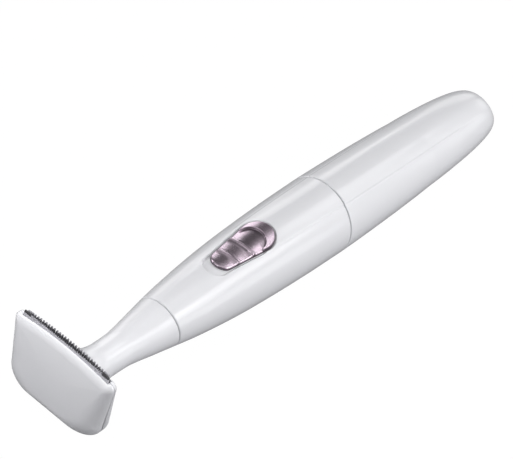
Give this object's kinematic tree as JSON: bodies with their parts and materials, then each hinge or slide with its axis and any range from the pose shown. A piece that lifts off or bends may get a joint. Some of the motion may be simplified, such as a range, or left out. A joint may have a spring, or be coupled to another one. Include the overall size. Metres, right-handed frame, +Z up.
{
  "type": "precision hair trimmer",
  "caption": "Slim cordless body hair trimmer with a wide T-shaped comb and cutter head on a conical neck, a teardrop slide switch and a tapered pull-off battery cap.",
  "frame": {"origin": "on the small flat under the belly that the trimmer lies on, below the handle's axis", "axes": "X along the handle with the blades at -X and the cap's end at +X, Z up through the switch, Y across, along the blades"},
  "size_m": [0.1693, 0.0314, 0.0284],
  "materials": {
    "pearl_shell": "glossy pearl white",
    "mauve_metallic": "metallic lacquer",
    "comb_steel": "ground",
    "cutter_steel": "dark, ground",
    "screw_steel": "satin",
    "spring_steel": "bright",
    "can_steel": "zinc plated",
    "magnet": "matte",
    "copper": "lacquered wire",
    "contact_brass": "bright",
    "dark_plastic": "matte",
    "lever_plastic": "matte",
    "inner_plastic": "matte",
    "board": "matte",
    "cell_can": "satin label",
    "seal_rubber": "matte",
    "red_wire": "satin",
    "black_wire": "satin"
  },
  "bodies": {
    "handle": {"front_housing": "pearl_shell", "motor_cradle": "inner_plastic", "motor_can": "can_steel", "motor_magnet_left": "magnet", "motor_magnet_right": "magnet", "motor_end_cap": "dark_plastic", "motor_terminal_left": "contact_brass", "motor_terminal_right": "contact_brass", "motor_screw_left": "screw_steel", "motor_screw_right": "screw_steel", "battery_tube": "inner_plastic", "battery_cell": "cell_can", "positive_contact": "spring_steel", "battery_strip": "contact_brass", "motor_strip": "contact_brass", "negative_strip": "spring_steel", "switch_plate": "board", "lead_positive": "red_wire", "lead_negative": "black_wire", "cap_seal": "seal_rubber"},
    "head": {"neck_shell": "pearl_shell", "head_cover": "pearl_shell", "fixed_comb": "comb_steel", "comb_screw_left": "screw_steel", "comb_screw_right": "screw_steel", "blade_spring": "spring_steel", "pivot_pin": "spring_steel", "head_seal": "seal_rubber"},
    "lever": {"drive_lever": "lever_plastic"},
    "cutter": {"moving_cutter": "cutter_steel", "cutter_carrier": "dark_plastic"},
    "shaft": {"motor_shaft": "spring_steel", "motor_rotor": "copper", "eccentric_hub": "lever_plastic", "eccentric_pin": "spring_steel"},
    "switch": {"switch_button": "mauve_metallic", "switch_carriage": "dark_plastic", "switch_contact": "contact_brass"},
    "cap": {"rear_cap": "pearl_shell", "spring_holder": "inner_plastic", "battery_spring": "spring_steel", "spring_plate": "spring_steel"}
  },
  "joints": [
    {"name": "head_pull", "type": "slide", "parent": "handle", "child": "head", "axis": [-1, 0, 0], "range_m": [0, 0.015]},
    {"name": "lever_swing", "type": "hinge", "parent": "head", "child": "lever", "pos_m": [-0.0649, 0, 0.0101], "axis": [0, 0, 1], "range_deg": [-1.52, 1.52]},
    {"name": "cutter_slide", "type": "slide", "parent": "head", "child": "cutter", "axis": [0, 1, 0], "range_m": [-0.00051, 0.00051]},
    {"name": "eccentric_spin", "type": "hinge", "parent": "handle", "child": "shaft", "pos_m": [-0.0352, 0, 0.0101], "axis": [1, 0, 0], "continuous": true},
    {"name": "switch_slide", "type": "slide", "parent": "handle", "child": "switch", "axis": [-1, 0, 0], "range_m": [0, 0.0025]},
    {"name": "cap_pull", "type": "slide", "parent": "handle", "child": "cap", "axis": [1, 0, 0], "range_m": [0, 0.025]}
  ],
  "couplings": [
    {"joint": "lever_swing", "follows": "cutter_slide", "rad_per_m": -51.68}
  ]
}
